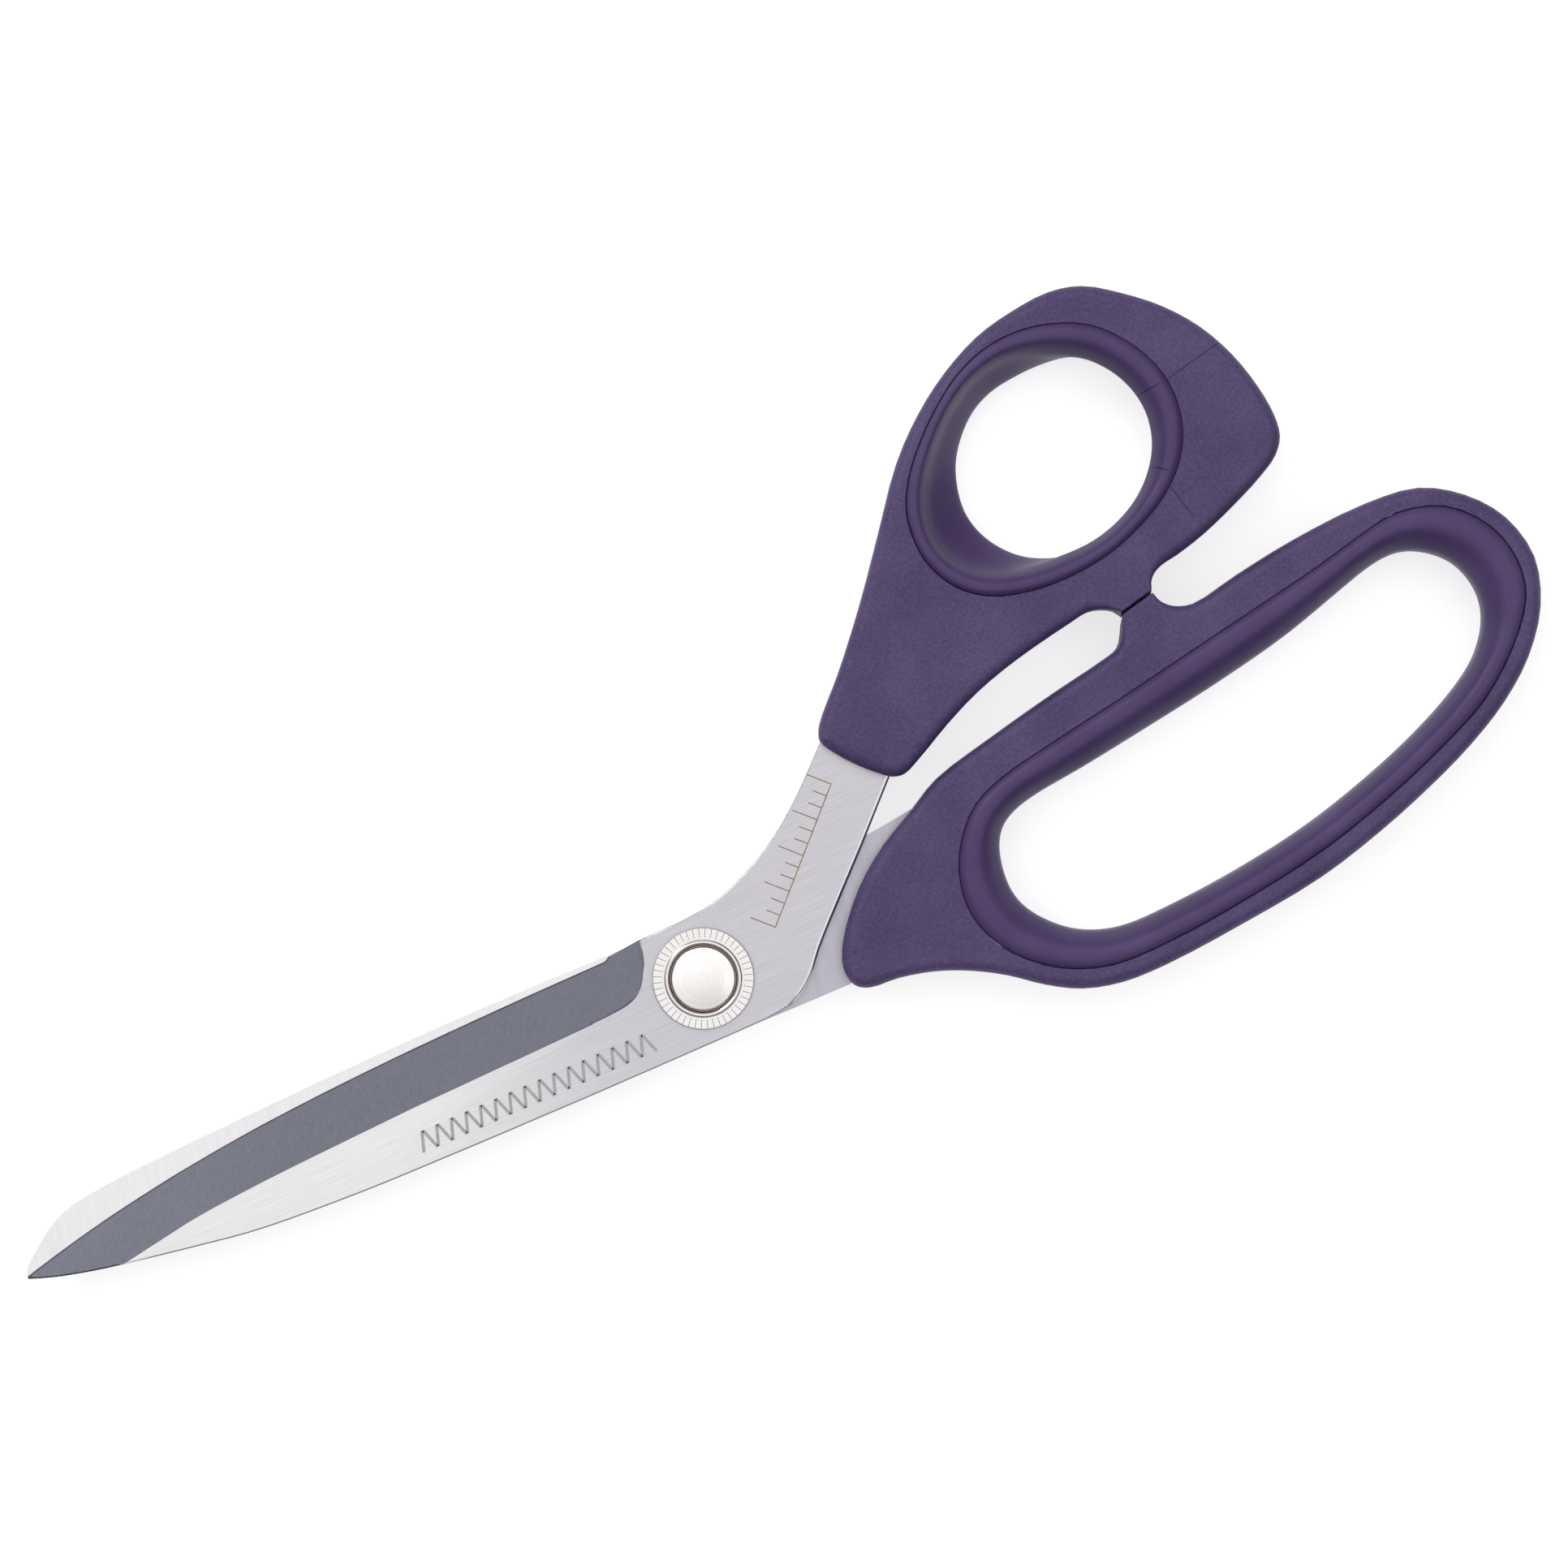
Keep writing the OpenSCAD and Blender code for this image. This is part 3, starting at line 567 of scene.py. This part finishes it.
def turnedMaterial(name, look):  # fine rings left by the lathe
    material, tree, shader, place = newMaterial(name, {"Metallic": 1.0})
    centred = put(tree, "ShaderNodeMapping", {"Location": (-pivot.x, -pivot.y, 0)})
    wire(tree, place, "Object", centred, "Vector")
    flat = put(tree, "ShaderNodeVectorMath", {1: (1, 1, 0)}, operation="MULTIPLY")
    wire(tree, centred, "Vector", flat, 0)
    radius = put(tree, "ShaderNodeVectorMath", operation="LENGTH")
    wire(tree, flat, 0, radius, 0)
    rings = put(tree, "ShaderNodeTexNoise", {"Scale": look["rings"], "Detail": 3.0, "Roughness": 0.6},
                noise_dimensions="1D")
    wire(tree, radius, "Value", rings, "W")
    smears = placeGroup(tree, handling, {"Scale": lathe["smearScale"]})
    wire(tree, place, "Object", smears, "Vector")
    tones = twoTones(tree, rings, "Fac", look["dark"], look["light"])
    mixOutput(tree, tones, shader, "Base Color")
    rough = ranged(tree, smears, "Smears", look["rough"], 0.0, 1.0)
    wire(tree, rough, "Result", shader, "Roughness")
    bumpFrom(tree, rings, "Fac", shader, look["bump"], lathe["bumpDepth"] * mm)
    return material


pivotLooks = {
    "head": {"rings": 7000.0, "dark": (0.64, 0.615, 0.605), "light": (0.8, 0.77, 0.76),
             "rough": (0.2, 0.28), "bump": 0.3},
    "collar": {"rings": 6000.0, "dark": (0.54, 0.505, 0.485), "light": (0.7, 0.66, 0.64),
               "rough": (0.16, 0.26), "bump": 0.1},
    # the well's dark tone is painted shade in the recess
    "well": {"rings": 6000.0, "dark": (0.24, 0.195, 0.18), "light": (0.34, 0.285, 0.265),
             "rough": (0.3, 0.4), "bump": 0.1},
    "ring": {"rings": 5000.0, "dark": (0.62, 0.605, 0.6), "light": (0.75, 0.735, 0.73),
             "rough": (0.24, 0.34), "bump": 0.15},
    # the groove tone is painted shade in the grooves and at the ring's outer corner
    "groove": {"rings": 5000.0, "dark": (0.38, 0.37, 0.37), "light": (0.5, 0.49, 0.48),
               "rough": (0.34, 0.44), "bump": 0.1},
    "spring": {"rings": 7000.0, "dark": (0.3, 0.3, 0.31), "light": (0.42, 0.42, 0.43),
               "rough": (0.3, 0.42), "bump": 0.2},
}
headChrome = turnedMaterial("headChrome", pivotLooks["head"])
collarSteel = turnedMaterial("collarSteel", pivotLooks["collar"])
wellPaintedShade = turnedMaterial("wellPaintedShade", pivotLooks["well"])
ringSteel = turnedMaterial("ringSteel", pivotLooks["ring"])
groovePaintedShade = turnedMaterial("groovePaintedShade", pivotLooks["groove"])
springSteel = turnedMaterial("springSteel", pivotLooks["spring"])

stud = {
    "seatBelowTop": 1.17, "rimBelowTop": 0.42, "rimRound": 0.3, "shoulder": 3.0, "bore": 1.5,
    "boreBelowTop": 2.295, "turns": 96, "crownSteps": 12, "crispFrom": 35,
}


def makeStud():
    top = studHigh.z / mm
    headRadius = (studHigh.x - studLow.x) / 2 / mm
    rim = top - stud["rimBelowTop"]
    inner = headRadius - stud["rimRound"]
    shares = [i / stud["crownSteps"] for i in range(stud["crownSteps"])]
    crown = [(inner * share, rim + stud["rimBelowTop"] * (1 - share ** 2)) for share in shares]
    corner = [(inner + stud["rimRound"] * math.sin(math.radians(a)),
               rim - stud["rimRound"] * (1 - math.cos(math.radians(a)))) for a in range(0, 91, 15)]
    seat = top - stud["seatBelowTop"]
    under = [(headRadius, seat), (stud["shoulder"], seat), (stud["shoulder"], studLow.z / mm),
             (stud["bore"], studLow.z / mm), (stud["bore"], top - stud["boreBelowTop"]),
             (0, top - stud["boreBelowTop"])]
    shape = turned(crown + corner + under, stud["turns"], pivot)
    sharpen(shape, stud["crispFrom"])
    finishPiece("pivotStud", shape, "front_half", "pivot_stud", [headChrome])


collar = {"wall": 0.62, "floor": 0.3, "bore": 3.02, "fillet": 0.12, "turns": 96, "crispFrom": 40}


def makeCollar():
    low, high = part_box("seat_collar")
    outer = (high.x - low.x) / 2 / mm
    base, top = low.z / mm, high.z / mm
    crest = collar["wall"] / 2
    lip = [(outer - crest + crest * math.cos(math.radians(a)),
            top - crest + crest * math.sin(math.radians(a))) for a in range(0, 181, 15)]
    wall, floorTop = outer - collar["wall"], base + collar["floor"]
    well = [(wall, floorTop + collar["fillet"]), (wall - collar["fillet"], floorTop),
            (collar["bore"], floorTop)]
    profile = [(collar["bore"], base), (outer, base)] + lip + well + [(collar["bore"], base)]
    shape = turned(profile, collar["turns"], pivot)
    for face in shape.faces:  # the well between the lip and the head is coloured darker as painted shade
        middle = face.calc_center_median() - pivot
        inShadedWell = middle.xy.length < wall * mm + 10 * weld
        face.material_index = int(inShadedWell and face.normal.z > -0.5)
    sharpen(shape, collar["crispFrom"])
    finishPiece("seatCollar", shape, "front_half", "seat_collar",
                [collarSteel, wellPaintedShade])


ring = {
    "grooves": 48, "inner": 4.92, "grooveFrom": 5.22, "grooveTo": 6.24, "runIn": 0.06, "deep": 0.06,
    "edgeRound": 0.12, "crispFrom": 25,
    "steps": 8,  # of the wedge that holds one groove
    "narrow": 0.08, "near": 0.02,  # shares of the wedge's turn
}


def armAndTurn(vert, pitch):  # from the pivot's axis to a corner, and how many wedges round that is
    arm = vert.co - Vector((pivot.x, pivot.y, vert.co.z))
    return arm, math.atan2(arm.y, arm.x) / pitch


def makeLockRing():
    low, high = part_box("lock_ring")
    outer = (high.x - low.x) / 2 / mm
    base, top = low.z / mm, high.z / mm
    stops = [ring["inner"], ring["grooveFrom"] - ring["runIn"], ring["grooveFrom"], ring["grooveTo"],
             outer - ring["edgeRound"]]
    corner = [(outer - ring["edgeRound"] * (1 - math.sin(math.radians(a))),
               top - ring["edgeRound"] * (1 - math.cos(math.radians(a)))) for a in (30, 60, 90)]
    profile = [(ring["inner"], base)] + [(r, top) for r in stops] + corner + [(outer, base)]
    shape = bmesh.new()
    verts = [shape.verts.new((pivot.x + r * mm, pivot.y, z * mm)) for r, z in profile]
    edges = [shape.edges.new((a, b)) for a, b in zip(verts, verts[1:] + verts[:1])]
    pitch = math.tau / ring["grooves"]
    bmesh.ops.spin(shape, geom=verts + edges, cent=(pivot.x, pivot.y, 0), axis=(0, 0, 1),
                   angle=pitch, steps=ring["steps"], use_merge=False, use_duplicate=False)
    for vert in shape.verts:  # the steps beside the groove are drawn in, so the groove is narrow
        arm, turn = armAndTurn(vert, pitch)
        if abs(abs(turn - 0.5) - 1 / ring["steps"]) < ring["near"]:
            back = -ring["narrow"] * pitch * math.copysign(1, turn - 0.5)
            vert.co -= arm
            vert.co += Matrix.Rotation(back, 3, "Z") @ arm
    pressed = set()
    for vert in shape.verts:  # the middle of the wedge is pressed down into one groove
        arm, turn = armAndTurn(vert, pitch)
        reach = arm.length / mm
        inGroove = ring["grooveFrom"] - 0.01 < reach < ring["grooveTo"] + 0.01
        if inGroove and abs(vert.co.z - top * mm) < weld / 2 and abs(turn - 0.5) < ring["near"]:
            vert.co.z -= ring["deep"] * mm
            pressed.add(vert)
    for face in shape.faces:  # the grooves and the ring's outer corner are coloured darker as painted shade
        arm = face.calc_center_median() - pivot
        atRim = arm.xy.length > (outer - ring["edgeRound"]) * mm
        face.material_index = int(atRim or len(pressed.intersection(face.verts)) == 2)
    bmesh.ops.spin(shape, geom=shape.verts[:] + shape.edges[:] + shape.faces[:],
                   cent=(pivot.x, pivot.y, 0), axis=(0, 0, 1), angle=math.tau - pitch,
                   steps=ring["grooves"] - 1, use_merge=False, use_duplicate=True)
    bmesh.ops.remove_doubles(shape, verts=shape.verts, dist=weld)
    bmesh.ops.recalc_face_normals(shape, faces=shape.faces)
    sharpen(shape, ring["crispFrom"])
    finishPiece("lockRing", shape, "front_half", "lock_ring",
                [ringSteel, groovePaintedShade])


makeStud()
makeCollar()
makeLockRing()


nylon = {"grain": 3000.0, "patch": 300.0, "dark": (0.62, 0.6, 0.55), "light": (0.74, 0.72, 0.67),
         "rough": 0.4, "bump": 0.2, "bumpDepth": 0.02}


def makeNylon():
    material, tree, shader, place = newMaterial("washerNylon", {"Roughness": nylon["rough"]})
    grain = placeGroup(tree, mouldGrain, {"Grain": nylon["grain"], "Patch": nylon["patch"]})
    wire(tree, place, "Object", grain, "Vector")
    tones = twoTones(tree, grain, "Patches", nylon["dark"], nylon["light"])
    mixOutput(tree, tones, shader, "Base Color")
    bumpFrom(tree, grain, "Height", shader, nylon["bump"], nylon["bumpDepth"] * mm)
    return material


washerNylon = makeNylon()
screwSteel = steelMaterial("screwSteel", {
    "stretch": (3000, 300, 3000), "streak": 0.2, "dark": (0.5, 0.5, 0.51), "light": (0.64, 0.64, 0.65),
    "rough": (0.26, 0.38), "bump": 0.3, "turn": 30})


cornerFrom = 40  # degrees from which an edge of the hidden pieces counts as a corner


def brokenCopy(name, nodeName, body, material, width):
    shape = mergedCopy(nodeName)
    dissolveFlats(shape)
    corners = [e for e in shape.edges
               if e.is_manifold and e.calc_face_angle(0) > math.radians(cornerFrom)]
    bmesh.ops.bevel(shape, geom=corners, offset=width * mm, offset_type="OFFSET", segments=2,
                    profile=0.5, affect="EDGES", clamp_overlap=True, material=-1)
    shape.normal_update()
    sharpen(shape, cornerFrom)
    finishPiece(name, shape, body, nodeName, [material])


brokenCopy("bearingWasher", "bearing_washer", "rear_half", washerNylon, 0.06)
brokenCopy("springWasher", "spring_washer", "front_half", springSteel, 0.04)
brokenCopy("tensionScrew", "tension_screw", "tension_screw", screwSteel, 0.06)


# ---- marks etched in the front blade

etch = {"metal": 0.6, "grain": 6000.0, "patch": 900.0, "bump": 0.3, "bumpDepth": 0.01, "crispFrom": 30}


def etchMaterial(name, dark, light, limits):
    material, tree, shader, place = newMaterial(name, {"Metallic": etch["metal"]})
    grain = placeGroup(tree, mouldGrain, {"Grain": etch["grain"], "Patch": etch["patch"]})
    wire(tree, place, "Object", grain, "Vector")
    tones = twoTones(tree, grain, "Patches", dark, light)
    mixOutput(tree, tones, shader, "Base Color")
    rough = ranged(tree, grain, "Height", limits)
    wire(tree, rough, "Result", shader, "Roughness")
    bumpFrom(tree, grain, "Height", shader, etch["bump"], etch["bumpDepth"] * mm)
    return material


paleEtch = etchMaterial("paleEtch", (0.33, 0.318, 0.335), (0.385, 0.37, 0.39), (0.5, 0.62))
brownEtch = etchMaterial("brownEtch", (0.2, 0.13, 0.07), (0.32, 0.22, 0.13), (0.4, 0.5))


def addBar(shape, start, end, width, rise):  # one etched stroke, a little proud of the steel
    a, b = fromPivot(*start), fromPivot(*end)
    way = b - a
    made = bmesh.ops.create_cube(shape, size=1)["verts"]
    matrix = (Matrix.Translation(((a.x + b.x) / 2, (a.y + b.y) / 2, frontTop + rise * mm / 2))
              @ Matrix.Rotation(math.atan2(way.y, way.x), 4, "Z")
              @ Matrix.Diagonal((way.length + width * mm, width * mm, rise * mm, 1)))
    bmesh.ops.transform(shape, matrix=matrix, verts=made)


sawBand = {"from": -41.0, "to": -9.0, "teeth": 16, "low": (-5.9, -6.1), "high": (-2.9, -3.1),
           "width": 0.4, "rise": 0.006, "apart": 0.2}
rule = {"start": (10.9, 2.2), "end": (24.6, 15.8), "ticks": 12, "longEvery": 3, "short": 1.6,
        "long": 3.1, "width": 0.15, "rise": 0.006, "gap": 1.05}


def makeSawBand():
    shape = bmesh.new()
    step = (sawBand["to"] - sawBand["from"]) / sawBand["teeth"]

    def along(x, ends):  # the band follows the blade's back, which slopes a little
        share = (x - sawBand["from"]) / (sawBand["to"] - sawBand["from"])
        return Vector((x, ends[0] + (ends[1] - ends[0]) * share))

    for i in range(sawBand["teeth"]):
        x = sawBand["from"] + i * step
        foot, peak = along(x, sawBand["low"]), along(x + step / 2, sawBand["high"])
        heel = along(x + step, sawBand["low"])
        for a, b in ((foot, peak), (peak, heel)):
            gap = (b - a).normalized() * (sawBand["apart"] + sawBand["width"] / 2)
            addBar(shape, a + gap, b - gap, sawBand["width"], sawBand["rise"])
    sharpen(shape, etch["crispFrom"])
    finishPiece("sawMark", shape, "front_half", None, [paleEtch], weighted=False)


def makeRule():
    shape = bmesh.new()
    start, end = Vector(rule["start"]), Vector(rule["end"])
    way = (end - start).normalized()
    side = Vector((-way.y, way.x))
    addBar(shape, start, end, rule["width"], rule["rise"])
    for i in range(rule["ticks"] + 1):
        foot = start + (end - start) * (i / rule["ticks"]) + side * rule["width"] * rule["gap"]
        reach = rule["long"] if i % rule["longEvery"] == 0 else rule["short"]
        addBar(shape, foot, foot + side * reach, rule["width"], rule["rise"])
    sharpen(shape, etch["crispFrom"])
    finishPiece("ruleMark", shape, "front_half", None, [brownEtch], weighted=False)


makeSawBand()
makeRule()


# ---- table, light and camera

table = {
    "halfSize": 3.0,  # metres
    "colour": (0.5, 0.5, 0.5), "rough": 0.7, "shine": 0.2, "glow": 0.68,
}


def makeFloor():
    shape = bmesh.new()
    bmesh.ops.create_grid(shape, x_segments=8, y_segments=8, size=table["halfSize"])
    data = bpy.data.meshes.new("tableTop")
    shape.to_mesh(data)
    shape.free()
    floor = bpy.data.objects.new("tableTop", data)
    bpy.context.scene.collection.objects.link(floor)
    material = newMaterial("tableWhite", {
        "Base Color": (*table["colour"], 1), "Roughness": table["rough"],
        "Specular IOR Level": table["shine"], "Emission Color": (1, 1, 1, 1),
        "Emission Strength": table["glow"]})[0]
    data.materials.append(material)


light = {
    "overhead": 1.31, "horizon": 0.1, "riseFrom": 0.3, "riseTo": 0.9,
    "lean": 0.65, "leanWay": (0.08, 0.99, 0),
    # places and sizes of the lamps are metres
    "key": {"at": (-0.39, 0.99, 0.75), "size": 0.5, "watts": 5.0},
    "fill": {"at": (0.7, -0.5, 1.1), "size": 1.0, "watts": 1.0},
}


def makeLight(name, look):
    lamp = bpy.data.lights.new(name, "AREA")
    lamp.shape = "DISK"
    lamp.size = look["size"]
    lamp.energy = look["watts"]
    thing = bpy.data.objects.new(name, lamp)
    bpy.context.scene.collection.objects.link(thing)
    thing.location = look["at"]
    thing.rotation_euler = (-Vector(look["at"])).to_track_quat("-Z", "Y").to_euler()


def makeWorld():  # a soft ceiling of light, dim towards the walls and brighter towards leanWay
    world = bpy.data.worlds.new("studio")
    bpy.context.scene.world = world
    world.use_nodes = True
    tree = world.node_tree
    back = tree.nodes["Background"]
    place = put(tree, "ShaderNodeTexCoord")
    parts = put(tree, "ShaderNodeSeparateXYZ")
    wire(tree, place, "Generated", parts, "Vector")
    ceiling = put(tree, "ShaderNodeMapRange",
                  {"From Min": light["riseFrom"], "From Max": light["riseTo"],
                   "To Min": light["horizon"], "To Max": light["overhead"]},
                  interpolation_type="SMOOTHSTEP")
    wire(tree, parts, "Z", ceiling, "Value")
    towards = put(tree, "ShaderNodeVectorMath", {1: light["leanWay"]}, operation="DOT_PRODUCT")
    wire(tree, place, "Generated", towards, 0)
    lean = put(tree, "ShaderNodeMath", {1: light["lean"], 2: 1.0}, operation="MULTIPLY_ADD")
    wire(tree, towards, "Value", lean, 0)
    whole = put(tree, "ShaderNodeMath", operation="MULTIPLY")
    wire(tree, ceiling, "Result", whole, 0)
    wire(tree, lean, 0, whole, 1)
    wire(tree, whole, 0, back, "Color")


makeFloor()
makeLight("keyLight", light["key"])
makeLight("fillLight", light["fill"])
makeWorld()

view = {"at": (19.2, 18.2), "height": 1000.0, "above": 8.0, "turn": -24.0, "width": 196.9,
        "sensor": 36}
cameraData = bpy.data.cameras.new("camera")
camera = bpy.data.objects.new("camera", cameraData)
bpy.context.scene.collection.objects.link(camera)
camera.location = fromPivot(view["at"][0], view["at"][1], view["above"] + view["height"])
camera.rotation_euler = (0, 0, math.radians(view["turn"]))
cameraData.sensor_width = view["sensor"]
cameraData.lens = view["sensor"] * view["height"] / view["width"]
cameraData.clip_start, cameraData.clip_end = 0.05, 20
bpy.context.scene.camera = camera
bpy.context.scene.view_settings.view_transform = "Standard"
print("table, light and camera ready")
